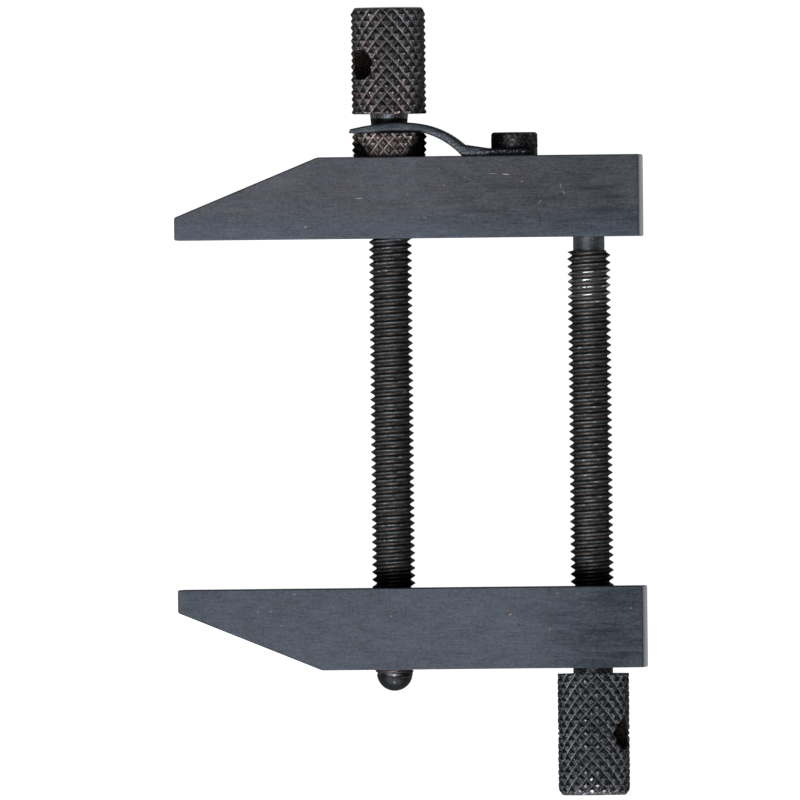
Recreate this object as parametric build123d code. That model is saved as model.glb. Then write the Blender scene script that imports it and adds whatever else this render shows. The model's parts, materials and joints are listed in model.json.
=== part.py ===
from build123d import *
import math
import os

# A toolmakers parallel clamp, lying on the side faces of its jaws.
# +X runs along the jaws from tip to heel, +Y along the screws towards the middle screw's head,
# and +Z across the jaws. The origin is under the middle of the whole clamp. Millimetres.

# Jaws: two square bars with bevelled noses
jaw_length = 62.1
jaw_height = 10.9
jaw_thickness = 10.9
tip_height = 3.05
bevel_length = 19.2
edge_break = 0.15
jaw_opening = 46.6

# Screws: their places along the jaws, and the thread that both have
outer_screw_from_heel = 7.05
screw_spacing = 26.5
thread_diameter = 5.8
thread_clearance = 0.05
jaw_hole_clearance = 0.10
hole_countersink = 0.35

# Middle screw, from its head down to its ball end
middle_head_diameter = 10.1
middle_head_length = 14.2
head_chamfer_height = 0.8
head_chamfer_depth = 0.6
neck_length = 2.6
neck_top_diameter = 5.1
neck_bottom_diameter = 4.6
collar_length = 3.1
collar_chamfer = 0.3
collar_seat_gap = 0.02
ball_end_reach = 2.85
ball_diameter = 4.8

# Outer screw, from its head up to its dog point
outer_head_diameter = 9.6
outer_head_length = 16.25
outer_neck_diameter = 5.3
outer_head_gap = 0.75
dog_diameter = 4.2
dog_shown = 2.2
dog_in_socket = 5.0
dog_chamfer = 0.5
socket_clearance = 0.08
socket_end_gap = 0.02

# Diamond knurl of both heads and the collar: grooves cross round raised four-sided points.
# The pitch is from one crossing to the next along the screw, and a band is knurled in whole
# rows, half a pitch apart or as near to that as its length allows.
knurl_count = 19
knurl_pitch = 1.72
knurl_depth = 0.42

# Tommy-bar holes across the heads, turned from straight up towards the tips or the heel
tommy_hole_diameter = 4.1
tommy_hole_countersink = 0.4
middle_hole_from_top = 7.65
middle_hole_turn = 44.0
outer_hole_from_top = 8.2
outer_hole_turn = 60.0

# Spring clip: places along it are measured from the middle screw, heights from the jaw
clip_width = 9.0
clip_thickness = 1.05
clip_foot_thickness = 1.0
clip_bend_thickness = 1.55
clip_end_thickness = 0.65
clip_reach = 5.15
clip_end_bevel = 0.65
clip_end_undercut = 0.2
clip_bend_place = 9.9
clip_seat_place = 13.4
clip_crown_place = 2.1
clip_under_crown_place = 2.0
clip_collar_gap = 0.05
clip_arch = 0.33
clip_slot_clearance = 0.30
clip_corner_radius = 1.2

# Clip screw
clip_screw_place = 16.7
clip_screw_head_diameter = 6.2
clip_screw_head_height = 2.1
clip_screw_edge = 0.25
clip_screw_diameter = 3.0
clip_screw_length = 6.5
clip_screw_clearance = 0.05
clip_screw_end_room = 1.0
clip_hole_clearance = 0.20
clip_screw_slot_width = 0.9
clip_screw_slot_depth = 0.9
clip_end_margin = 2.9
drill_point_angle = 118.0

# How far a cutter runs past the metal that it cuts, and a neck into the head that it carries
cut_over = 1.0
neck_in_head = 3.0

# Places in the clamp's own frame, all worked out from the sizes above
tip_x = -jaw_length / 2
heel_x = jaw_length / 2
outer_x = heel_x - outer_screw_from_heel
middle_x = outer_x - screw_spacing
clip_screw_x = middle_x + clip_screw_place

head_reach = jaw_height + collar_seat_gap + collar_length + neck_length + middle_head_length
foot_reach = jaw_opening + jaw_height + max(outer_head_gap + outer_head_length, ball_end_reach)
upper_inner_y = (foot_reach - head_reach) / 2
upper_outer_y = upper_inner_y + jaw_height
lower_inner_y = upper_inner_y - jaw_opening
lower_outer_y = lower_inner_y - jaw_height
axis_z = max(jaw_thickness, middle_head_diameter, outer_head_diameter) / 2


def turned(profile, x):
    # A solid of revolution about a screw's axis. The profile lists radius and Y pairs.
    outline = Polyline(*profile, close=True)
    return Pos(x, 0, axis_z) * revolve(make_face(outline), axis=Axis.Y)


def rod(radius, bottom_y, top_y, x):
    # A plain round bar along Y.
    return turned([(0, bottom_y), (radius, bottom_y), (radius, top_y), (0, top_y)], x)


def drilled(radius, mouth_y, end_y, x):
    # A blind hole with the cone that a drill's point leaves past its full depth.
    point = radius / math.tan(math.radians(drill_point_angle / 2))
    point_y = end_y + math.copysign(point, end_y - mouth_y)
    return turned([(0, mouth_y), (radius, mouth_y), (radius, end_y), (0, point_y)], x)


def countersink(radius, face_y, inward, x):
    # The 45 degree cone at a hole's mouth. Inward is +1 or -1, the way into the metal.
    end_y = face_y + inward * hole_countersink
    start_y = face_y - inward * hole_countersink
    start_radius = radius + 2 * hole_countersink
    return turned([(0, start_y), (start_radius, start_y), (radius, end_y), (0, end_y)], x)


def knurled(radius, bottom, top, x):
    # A round band with a diamond knurl. Each end is given as its Y and the height and depth
    # of its chamfer. The points stand at the full radius, the grooves cross a knurl's depth
    # below it, and points and crossings alternate round each row and from one row to the next.
    bottom_y, bottom_height, bottom_depth = bottom
    top_y, top_height, top_depth = top
    first_y = bottom_y + bottom_height
    last_y = top_y - top_height
    row_count = max(1, round((last_y - first_y) / (knurl_pitch / 2)))
    rows = [(first_y + (last_y - first_y) * row / row_count, radius) for row in range(row_count + 1)]
    if bottom_height > 0:
        rows.insert(0, (bottom_y, radius - bottom_depth))
    if top_height > 0:
        rows.append((top_y, radius - top_depth))
    steps = 2 * knurl_count

    def corner(row, step):
        y, limit = rows[row]
        is_crossing = (row + step) % 2 == 0
        reach = min(limit, radius - knurl_depth if is_crossing else radius)
        angle = step * math.pi / knurl_count
        return (x + reach * math.sin(angle), y, axis_z + reach * math.cos(angle))

    def facet(*corners):
        return Face(Wire.make_polygon(corners, close=True))

    faces = []
    for row in range(len(rows) - 1):
        for step in range(steps):
            after = (step + 1) % steps
            low, low_after = corner(row, step), corner(row, after)
            high, high_after = corner(row + 1, step), corner(row + 1, after)
            if (row + step) % 2 == 0:
                faces += [facet(low, low_after, high_after), facet(low, high_after, high)]
            else:
                faces += [facet(low, low_after, high), facet(low_after, high_after, high)]
    for row in (0, len(rows) - 1):
        faces.append(facet(*[corner(row, step) for step in range(steps)]))
    return Solid(Shell(faces))


def tommy_hole(x, y, turn, head_diameter):
    # A hole straight through a head at right angles to the screw, with broken mouths.
    # The turn is from straight up, positive towards the heel.
    radius = tommy_hole_diameter / 2
    sink_start = head_diameter / 2 - tommy_hole_countersink
    sink_height = tommy_hole_countersink + cut_over
    hole = Cylinder(radius, head_diameter + 2 * cut_over)
    sink_align = (Align.CENTER, Align.CENTER, Align.MIN)
    sink = Cone(radius, radius + sink_height, sink_height, align=sink_align)
    for half_turn in (0, 180):
        hole += Rot(0, half_turn, 0) * Pos(0, 0, sink_start) * sink
    return Pos(x, y, axis_z) * Rot(0, turn, 0) * hole


def jaw_blank(inner_y, outward):
    # The bar with its bevelled nose and lightly broken edges. Outward is +1 or -1 along Y.
    outer_y = inner_y + outward * jaw_height
    outline = Polyline(
        (tip_x, inner_y),
        (heel_x, inner_y),
        (heel_x, outer_y),
        (tip_x + bevel_length, outer_y),
        (tip_x, inner_y + outward * tip_height),
        close=True,
    )
    bar = extrude(make_face(outline), jaw_thickness, dir=(0, 0, 1))
    return chamfer((Pos(0, 0, axis_z - jaw_thickness / 2) * bar).edges(), edge_break)


def make_upper_jaw():
    # The middle screw passes freely, the outer screw's point sits in a blind flat-bottomed
    # socket, and the clip screw has a tapped hole from the outer face.
    hole_radius = thread_diameter / 2 + jaw_hole_clearance
    socket_radius = dog_diameter / 2 + socket_clearance
    socket_end = upper_inner_y + dog_in_socket + socket_end_gap
    screw_radius = clip_screw_diameter / 2 + clip_screw_clearance
    screw_end = upper_outer_y + clip_foot_thickness - clip_screw_length
    jaw = jaw_blank(upper_inner_y, 1)
    jaw -= rod(hole_radius, upper_inner_y - cut_over, upper_outer_y + cut_over, middle_x)
    jaw -= countersink(hole_radius, upper_inner_y, 1, middle_x)
    jaw -= rod(socket_radius, upper_inner_y - cut_over, socket_end, outer_x)
    jaw -= countersink(socket_radius, upper_inner_y, 1, outer_x)
    jaw -= drilled(screw_radius, upper_outer_y + cut_over, screw_end - clip_screw_end_room, clip_screw_x)
    return jaw


def make_lower_jaw():
    # Both screws are threaded through this jaw.
    hole_radius = thread_diameter / 2 + thread_clearance
    jaw = jaw_blank(lower_inner_y, -1)
    for x in (middle_x, outer_x):
        jaw -= rod(hole_radius, lower_outer_y - cut_over, lower_inner_y + cut_over, x)
        jaw -= countersink(hole_radius, lower_inner_y, -1, x)
        jaw -= countersink(hole_radius, lower_outer_y, 1, x)
    return jaw


def make_middle_screw():
    # Turned in one piece: ball end, shank, knurled collar, tapered neck and knurled head.
    collar_bottom = upper_outer_y + collar_seat_gap
    collar_top = collar_bottom + collar_length
    head_bottom = collar_top + neck_length
    head_top = head_bottom + middle_head_length
    head_radius = middle_head_diameter / 2
    shank_radius = thread_diameter / 2
    ball_radius = ball_diameter / 2
    ball_y = lower_outer_y - ball_end_reach + ball_radius
    core = turned(
        [
            (0, ball_y),
            (ball_radius, ball_y),
            (shank_radius, ball_y + shank_radius - ball_radius),
            (shank_radius, collar_bottom + collar_length / 2),
            (neck_bottom_diameter / 2, collar_top),
            (neck_top_diameter / 2, head_bottom),
            (neck_top_diameter / 2, head_bottom + neck_in_head),
            (0, head_bottom + neck_in_head),
        ],
        middle_x,
    )
    collar = knurled(
        head_radius,
        (collar_bottom, collar_chamfer, collar_chamfer),
        (collar_top, collar_chamfer, collar_chamfer),
        middle_x,
    )
    head = knurled(
        head_radius,
        (head_bottom, 0, 0),
        (head_top, head_chamfer_height, head_chamfer_depth),
        middle_x,
    )
    screw = collar + core + head
    screw += Pos(middle_x, ball_y, axis_z) * Sphere(ball_radius)
    hole_y = head_top - middle_hole_from_top
    return screw - tommy_hole(middle_x, hole_y, -middle_hole_turn, middle_head_diameter)


def make_outer_screw():
    # Turned in one piece: knurled head, short neck, shank and the dog point in its socket.
    head_top = lower_outer_y - outer_head_gap
    head_bottom = head_top - outer_head_length
    head_radius = outer_head_diameter / 2
    neck_radius = outer_neck_diameter / 2
    shank_radius = thread_diameter / 2
    dog_radius = dog_diameter / 2
    dog_bottom = upper_inner_y - dog_shown
    dog_top = upper_inner_y + dog_in_socket
    core = turned(
        [
            (0, head_top - neck_in_head),
            (neck_radius, head_top - neck_in_head),
            (neck_radius, lower_outer_y),
            (shank_radius, lower_outer_y + shank_radius - neck_radius),
            (shank_radius, dog_bottom - shank_radius + dog_radius),
            (dog_radius, dog_bottom),
            (dog_radius, dog_top - dog_chamfer),
            (dog_radius - dog_chamfer, dog_top),
            (0, dog_top),
        ],
        outer_x,
    )
    head = knurled(
        head_radius,
        (head_bottom, head_chamfer_height, head_chamfer_depth),
        (head_top, 0, 0),
        outer_x,
    )
    hole_y = head_top - outer_hole_from_top
    return head + core - tommy_hole(outer_x, hole_y, outer_hole_turn, outer_head_diameter)


def make_spring_clip():
    # Side view of the leaf: a flat foot on the jaw, a bend, and an arch over the collar
    # whose end rests just above the collar's far rim. The fork opens towards the tips.
    base = upper_outer_y
    end_under = base + collar_seat_gap + collar_length + clip_collar_gap
    crown_under = end_under + clip_arch
    crown_top = crown_under + clip_thickness
    end_x = middle_x - clip_reach
    bend_x = middle_x + clip_bend_place
    seat_x = middle_x + clip_seat_place
    foot_x = clip_screw_x + clip_end_margin
    under_crown = (middle_x + clip_under_crown_place, crown_under)
    top_crown = (middle_x + clip_crown_place, crown_top)
    end_low = (end_x + clip_end_undercut, end_under)
    end_nose = (end_x, end_under + clip_end_thickness / 2)
    end_high = (end_x + clip_end_bevel, end_under + clip_end_thickness)
    side = [
        TangentArc(under_crown, end_low, tangent=(-1, 0)),
        Line(end_low, end_nose),
        Line(end_nose, end_high),
        TangentArc(top_crown, end_high, tangent=(-1, 0)),
        TangentArc(top_crown, (bend_x, base + clip_bend_thickness), tangent=(1, 0)),
        Line((bend_x, base + clip_bend_thickness), (seat_x, base + clip_foot_thickness)),
        Line((seat_x, base + clip_foot_thickness), (foot_x, base + clip_foot_thickness)),
        Line((foot_x, base + clip_foot_thickness), (foot_x, base)),
        Line((foot_x, base), (bend_x, base)),
        TangentArc(under_crown, (bend_x, base), tangent=(1, 0)),
    ]
    leaf = Pos(0, 0, axis_z - clip_width / 2) * extrude(make_face(side), clip_width, dir=(0, 0, 1))
    leaf = fillet(leaf.edges().filter_by(Axis.Y).group_by(Axis.X)[-1], clip_corner_radius)
    slot_radius = neck_top_diameter / 2 + clip_slot_clearance
    slot_height = crown_top + cut_over - base
    mouth_length = clip_reach + cut_over
    mouth_align = (Align.MAX, Align.MIN, Align.CENTER)
    mouth = Box(mouth_length, slot_height, 2 * slot_radius, align=mouth_align)
    hole_radius = clip_screw_diameter / 2 + clip_hole_clearance
    leaf -= rod(slot_radius, base, base + slot_height, middle_x)
    leaf -= Pos(middle_x, base, axis_z) * mouth
    leaf -= rod(hole_radius, base - cut_over, base + clip_foot_thickness + cut_over, clip_screw_x)
    return leaf


def make_clip_screw():
    # A slotted cheese-head screw that clamps the foot of the clip to the jaw.
    seat = upper_outer_y + clip_foot_thickness
    top = seat + clip_screw_head_height
    end = seat - clip_screw_length
    head_radius = clip_screw_head_diameter / 2
    screw_radius = clip_screw_diameter / 2
    screw = turned(
        [
            (0, end),
            (screw_radius - clip_screw_edge, end),
            (screw_radius, end + clip_screw_edge),
            (screw_radius, seat),
            (head_radius, seat),
            (head_radius, top - clip_screw_edge),
            (head_radius - clip_screw_edge, top),
            (0, top),
        ],
        clip_screw_x,
    )
    slot = Box(clip_screw_head_diameter + cut_over, 2 * clip_screw_slot_depth, clip_screw_slot_width)
    return screw - Pos(clip_screw_x, top, axis_z) * slot


os.makedirs("parts", exist_ok=True)
export_step(make_upper_jaw(), "parts/upper_jaw.step")
export_step(make_lower_jaw(), "parts/lower_jaw.step")
export_step(make_middle_screw(), "parts/middle_screw.step")
export_step(make_outer_screw(), "parts/outer_screw.step")
export_step(make_spring_clip(), "parts/spring_clip.step")
export_step(make_clip_screw(), "parts/clip_screw.step")
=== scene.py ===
import json
import math

import bmesh
import bpy
import numpy as np
from mathutils import Matrix, Vector


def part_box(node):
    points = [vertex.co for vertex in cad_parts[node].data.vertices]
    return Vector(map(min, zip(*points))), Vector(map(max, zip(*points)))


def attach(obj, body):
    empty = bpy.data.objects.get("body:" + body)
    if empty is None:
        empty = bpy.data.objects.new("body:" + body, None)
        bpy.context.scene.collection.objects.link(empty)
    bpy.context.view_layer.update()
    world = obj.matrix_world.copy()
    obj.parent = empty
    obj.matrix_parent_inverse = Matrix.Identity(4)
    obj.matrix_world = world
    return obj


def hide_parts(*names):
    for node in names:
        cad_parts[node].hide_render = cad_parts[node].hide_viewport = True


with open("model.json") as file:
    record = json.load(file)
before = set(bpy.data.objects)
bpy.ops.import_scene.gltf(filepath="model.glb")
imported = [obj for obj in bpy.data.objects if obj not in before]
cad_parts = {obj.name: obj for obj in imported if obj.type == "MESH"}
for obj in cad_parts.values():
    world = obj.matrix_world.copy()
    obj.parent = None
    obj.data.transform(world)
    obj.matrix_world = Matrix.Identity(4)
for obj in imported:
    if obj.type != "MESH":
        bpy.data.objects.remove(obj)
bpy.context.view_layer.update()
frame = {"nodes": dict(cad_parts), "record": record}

# Sizes are millimetres: x runs along the jaws from tip to heel, y along the screws towards the
# upper head, and z up towards the camera.
mm = 0.001


def span(node):
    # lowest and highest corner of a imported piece, in millimetres
    low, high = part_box(node)
    return np.array(low) / mm, np.array(high) / mm


jawLow, jawHigh = span("upper_jaw")
footLow, footHigh = span("lower_jaw")
middleLow, middleHigh = span("middle_screw")
outerLow, outerHigh = span("outer_screw")
clipLow = span("spring_clip")[0]
clipScrewLow, clipScrewHigh = span("clip_screw")
axisZ = (middleLow[2] + middleHigh[2]) / 2
middleX = (middleLow[0] + middleHigh[0]) / 2
outerX = (outerLow[0] + outerHigh[0]) / 2
clipScrewX = (clipScrewLow[0] + clipScrewHigh[0]) / 2
tommyHoles = {m["name"].split("_")[0]: m for m in frame["record"]["mounts"] if m["kind"] == "bore"}


# Meshes

def addObject(name, data):
    # a new object of the scene, at the origin
    added = bpy.data.objects.new(name, data)
    bpy.context.scene.collection.objects.link(added)
    return added


def newPiece(name, points, triangles):
    # an object whose mesh holds the points, turned from millimetres to metres
    mesh = bpy.data.meshes.new(name)
    mesh.from_pydata((points.reshape(-1, 3) * mm).tolist(), [], triangles.tolist())
    mesh.update()
    return addObject(name, mesh)


def vertexPlaces(mesh):
    # the points of a mesh in millimetres
    points = np.zeros(len(mesh.vertices) * 3)
    mesh.vertices.foreach_get("co", points)
    return points.reshape(-1, 3) / mm


def markPoints(mesh, name, values):
    # a number for each point of a mesh, which a finish reads by its name
    mark = mesh.attributes.new(name, "FLOAT", "POINT")
    mark.data.foreach_set("value", values.astype(np.float32))


def settle(piece):
    # the piece's modifiers become part of its mesh
    depsgraph = bpy.context.evaluated_depsgraph_get()
    finished = bpy.data.meshes.new_from_object(piece.evaluated_get(depsgraph))
    piece.modifiers.clear()
    old = piece.data
    piece.data = finished
    bpy.data.meshes.remove(old)


def roundAxis(x, radius, height, angle):
    # points about a screw's axis, where the angle starts towards the camera and grows towards
    # the heel: x + r sin a, the height, and z + r cos a
    radius, height, angle = np.broadcast_arrays(radius, height, angle)
    return np.stack([x + radius * np.sin(angle), height, axisZ + radius * np.cos(angle)], -1)


def ringTube(name, points, leansRight):
    # Triangles of a closed tube: rows of rings, each joined to the next, and a fan to the
    # middle of each end. leansRight says for each cell which of its diagonals is cut.
    rows, count = points.shape[:2]
    ids = np.arange(rows * count).reshape(rows, count)
    beside = np.roll(ids, -1, 1)
    a, b, c, d = ids[:-1], beside[:-1], beside[1:], ids[1:]
    first = np.where(leansRight[..., None], np.stack([a, b, c], -1), np.stack([a, b, d], -1))
    second = np.where(leansRight[..., None], np.stack([a, c, d], -1), np.stack([b, c, d], -1))
    low, high = rows * count, rows * count + 1
    lowFan = np.stack([np.full(count, low), beside[0], ids[0]], -1)
    highFan = np.stack([np.full(count, high), ids[-1], beside[-1]], -1)
    parts = [first.reshape(-1, 3), second.reshape(-1, 3), lowFan, highFan]
    middles = np.stack([points[0].mean(0), points[-1].mean(0)])
    return newPiece(name, np.vstack([points.reshape(-1, 3), middles]), np.vstack(parts))


def turnedPiece(name, x, profile, count=128):
    # a closed solid of revolution: the profile lists radius and height from bottom to top
    profile = np.array(profile, float)
    angle = np.arange(count) * math.tau / count
    points = roundAxis(x, profile[:, :1], profile[:, 1:], angle)
    return ringTube(name, points, np.ones((len(profile) - 1, count), bool))


def combine(base, tool, operation):
    # the union, difference or shared part of two closed pieces, kept on the first
    change = base.modifiers.new("combine", "BOOLEAN")
    change.operation = operation
    change.solver = "MANIFOLD"
    change.object = tool
    settle(base)
    bpy.data.objects.remove(tool)


def ripple(angle, height, seed, waves=7, around=9, along=1.4):
    # a smooth irregular field, seldom outside -1 to 1: a sum of sine waves with whole numbers
    # of turns round the axis and random rates along it
    draw = np.random.default_rng(seed)
    total = 0
    for turn in draw.integers(-around, around + 1, waves):
        total = total + np.sin(turn * angle + draw.uniform(-along, along) * math.tau * height
                               + draw.uniform(0, math.tau))
    spread = 1.4
    return total / math.sqrt(waves) / spread


# Screws

joining = {
    "overlap": 1.0,  # how far a part of a screw reaches into the next
    "clear": 0.1,  # how far a cut stands clear of the crests that it leaves alone
    "proud": 0.02,  # how far a plain shank stands out over the crests that end in it
    "hair": 0.01,  # how far off its surface a point may lie
    "sharpFrom": 38,  # degrees between faces whose edge is shaded as a hard one
}
knurl = {
    "pitch": 1.733,  # from one crossing of the grooves to the next along a head
    "samples": 12,  # mesh columns from one crossing to the next
    "floor": 0.07,  # half width of a groove's floor, as a share of the way up to a point
    "uneven": 0.1,  # share of the height that comes and goes
    # the fainter lines and the sides turned away belong to the painted light on the groove lines
    "faintLine": 0.85,  # strength of the fainter lines
    "turnedAway": 0.7,  # share of the radius from which a side counts as turned away
}
thread = {
    "pitch": 1.0,
    "crest": 2.87,  # radius
    "root": 2.31,
    "crestShare": 0.11,  # flat on the crest, as a share of the pitch
    "rootShare": 0.16,
    "columns": 96,
    "spareTurns": 3,  # of a rod beyond its ends
    "stations": (-0.055, 0.055, 0.18, 0.3, 0.42, 0.5, 0.58, 0.7, 0.82),
    "nick": 0.05,  # depth of the dents along the crest
    "dents": (12, 24, 3.0),  # waves, turns round the axis and rate along it of their field
    "dentFrom": 0.35,  # value of the field at which a dent starts
    "dented": 0.1,  # the dents reach this far down from the crest
}
tommyHole = {"sides": 96, "brokenEdge": 0.12, "beyond": 1.0}  # the drill ends beyond the head
middleLook = {
    # Knurled bands: depth of the grooves, turn in degrees from straight up to a crossing, its
    # phase or height above the band's lower end, chamfers as height and depth, and seed.
    "head": {"depth": 0.5, "turn": 0.6, "phase": 1.12, "low": (0, 0), "high": (0.8, 0.6), "seed": 22},
    "collar": {"depth": 0.66, "turn": 3.0, "phase": 0.04, "low": (0.3, 0.3), "high": (0.3, 0.3), "seed": 21},
    "headRadius": 5.05,
    "crossings": 19,  # round the head
    "flat": 0.03,  # share of the way up that is worn off each point
    "bulge": 1.0,  # over 1 rounds the sides of the points
    "holeTurn": -6.5,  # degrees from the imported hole, as the photograph shows it
    "neckLength": 2.6,
    "neckTop": 2.55,  # radius at the head
    "neckBottom": 2.3,  # radius at the collar
    "collarGap": 0.02,  # between the upper jaw and the collar
    "collarLength": 3.1,
    "ballRadius": 2.4,
    "ballSpan": (0.02, math.pi / 2),  # latitudes from the tip to the widest ring
    "ballSteps": 16,
    "shoulder": (0.22, 0.42),  # outwards from the ball and upwards from its middle
    "firstTurn": 1.0,  # height of the whole thread above the ball's middle
    "crestAt": 0.61,  # height of a crest on the screw's upper side, past a whole pitch
    "threadInJaw": 2.0,  # how far the thread goes on into the upper jaw
    "runOut": 0.6,  # length of thread that the plain shank covers
    "seed": 11,  # of the thread's dents
}
outerLook = {
    # here the phase is the height of a crossing above the head's upper end
    "head": {"depth": 0.42, "turn": -0.6, "phase": -4.54, "low": (0.8, 0.6), "high": (0, 0), "seed": 23},
    "headRadius": 4.8,
    "headLength": 16.25,
    "crossings": 18,
    "flat": 0.34,
    "bulge": 1.3,
    "holeTurn": 6.5,
    "neckRadius": 2.65,
    "neckEnd": 0.8,  # above the lower jaw's lower edge, as the next
    "threadStart": 0.5,
    "lastTurn": (0.15, 0.2),  # outwards from the dog point and downwards from its shown end
    "dogRadius": 2.1,
    "dogShown": 1.85,
    "dogChamfer": 0.5,
    "crestAt": 0.08,
    "seed": 12,
}


def grooveSpans(height, angle, crossings, phase):
    # Distances to the nearest grooves that climb to the right and to the left, in steps from
    # one to the next: the difference and the sum of the steps round the screw and along it,
    # each less its nearest whole number.
    around = crossings * angle / math.tau
    along = (height - phase) / knurl["pitch"]
    rising, falling = around - along, around + along
    return np.abs(rising - rising.round()), np.abs(falling - falling.round())


def placedBand(band, bottom, top, countedFrom):
    # the values of a knurled band with its place along the screw
    return {**band, "bottom": bottom, "top": top, "phase": countedFrom + band["phase"]}


def knurledBand(name, x, look, band):
    # Radius over angle and height: the way from the nearer groove to the middle between two
    # gives the lift, with a flat floor, a bulging side and a worn point. A cone cuts each
    # chamfered end.
    radius, crossings, bottom, top = look["headRadius"], look["crossings"], band["bottom"], band["top"]
    step = knurl["pitch"] / knurl["samples"]
    first = math.ceil((bottom + step / 2 - band["phase"]) / step)
    last = math.floor((top - step / 2 - band["phase"]) / step)
    heights = band["phase"] + np.arange(first, last + 1) * step
    edges = [bottom, bottom + band["low"][0], top - band["high"][0], top]
    heights = np.unique(np.concatenate([heights, edges]).round(6))[:, None]
    count = crossings * knurl["samples"]
    angle = (np.arange(count) * math.tau / count)[None, :]
    toRising, toFalling = grooveSpans(heights, angle, crossings, band["phase"])
    way = 2 * np.minimum(toRising, toFalling)
    climb = np.clip((way - knurl["floor"]) / (1 - look["flat"] - knurl["floor"]), 0, 1)
    uneven = 1 - knurl["uneven"] * (0.5 + 0.5 * ripple(angle, heights, band["seed"]))
    lift = (1 - (1 - climb) ** look["bulge"]) * uneven
    reach = radius - band["depth"] * (1 - lift)
    for (height, cut), away in ((band["low"], heights - bottom), (band["high"], top - heights)):
        if height:
            reach = np.minimum(reach, radius - cut * (1 - away / height))
    points = roundAxis(x, reach, heights, angle + math.radians(band["turn"]))
    between = (heights[1:] + heights[:-1]) / 2
    toRising, toFalling = grooveSpans(between, angle + math.pi / count, crossings, band["phase"])
    return ringTube(name, points, toRising < toFalling)


def threadReach(place):
    # Radius of the thread over the climb in pitches from a crest: straight flanks between a
    # flat crest and a flat root.
    share = np.abs((place + 0.5) % 1 - 0.5) * 2
    climb = (1 - thread["rootShare"] - share) / (1 - thread["rootShare"] - thread["crestShare"])
    return thread["root"] + (thread["crest"] - thread["root"]) * np.clip(climb, 0, 1)


def threadedRod(name, x, bottom, top, look):
    # A right-hand thread as one helical sheet: each row climbs by a pitch round the rod, so
    # crest and root run along mesh lines, and a ring's last column joins the row one turn up.
    stations, columns, pitch = thread["stations"], thread["columns"], thread["pitch"]
    perTurn = len(stations)
    turns = math.ceil((top - bottom) / pitch) + thread["spareTurns"]
    row = np.arange(turns * perTurn + 1)
    place = np.array(stations)[row % perTurn] + row // perTurn
    sheet = threadReach(place)[:, None]
    angle = (np.arange(columns) * math.tau / columns)[None, :]
    start = math.floor(bottom) - pitch + look["crestAt"]
    height = start + pitch * (place[:, None] + angle / math.tau)
    dents = np.maximum(0, ripple(angle, height, look["seed"], *thread["dents"]) - thread["dentFrom"])
    reach = sheet - thread["nick"] * dents * (sheet > thread["crest"] - thread["dented"])
    points = roundAxis(x, reach, height, angle)
    ids = np.arange(points.shape[0] * columns).reshape(-1, columns)
    body = len(ids) - 1
    beside = np.concatenate([ids[:, 1:], np.roll(ids[:, :1], -perTurn, 0)], 1)
    a, b, c, d = ids[:-1], beside[:-1], beside[1:], ids[1:]
    whole = np.ones((body, columns), bool)
    whole[body - perTurn:, -1] = False
    sheet = np.concatenate([np.stack([a, b, c], -1)[whole], np.stack([a, c, d], -1)[whole]])
    lowLoop = np.concatenate([ids[0], ids[perTurn:0:-1, 0]])
    highLoop = np.concatenate([ids[-1], ids[body - 1:body - perTurn - 1:-1, -1]])
    low, high = ids.size, ids.size + 1
    lowFan = np.stack([np.full(len(lowLoop), low), np.roll(lowLoop, -1), lowLoop], -1)
    highFan = np.stack([np.full(len(highLoop), high), highLoop, np.roll(highLoop, -1)], -1)
    flat = points.reshape(-1, 3)
    middles = np.array([[x, flat[lowLoop, 1].mean(), axisZ], [x, flat[highLoop, 1].mean(), axisZ]])
    return newPiece(name, np.vstack([flat, middles]), np.vstack([sheet, lowFan, highFan]))


def drillTommyHole(screw, which, look):
    # the round hole across a head, with its edge just broken at both mouths
    mount = tommyHoles[which]
    radius = mount["dims"]["r_mm"]
    turn = math.radians(look["holeTurn"])
    centre, packed = np.array(mount["pos_m"]) / mm, np.array(mount["axis"])
    side = np.array([0.0, 1.0, 0.0])
    along = packed * math.cos(turn) + np.cross(side, packed) * math.sin(turn)
    sink, beyond = tommyHole["brokenEdge"], tommyHole["beyond"]
    mouth = look["headRadius"] - sink
    reach, wide = look["headRadius"] + beyond, radius + sink + beyond
    profile = np.array([(wide, -reach), (radius, -mouth), (radius, mouth), (wide, reach)])
    angle = np.arange(tommyHole["sides"]) * math.tau / tommyHole["sides"]
    across = np.cross(along, side)
    spoke = np.cos(angle)[:, None] * side + np.sin(angle)[:, None] * across
    points = centre + profile[:, 1][:, None, None] * along + profile[:, 0][:, None, None] * spoke
    tool = ringTube("drill", points, np.ones((len(profile) - 1, len(angle)), bool))
    combine(screw, tool, "DIFFERENCE")
    return centre, along, radius


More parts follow.
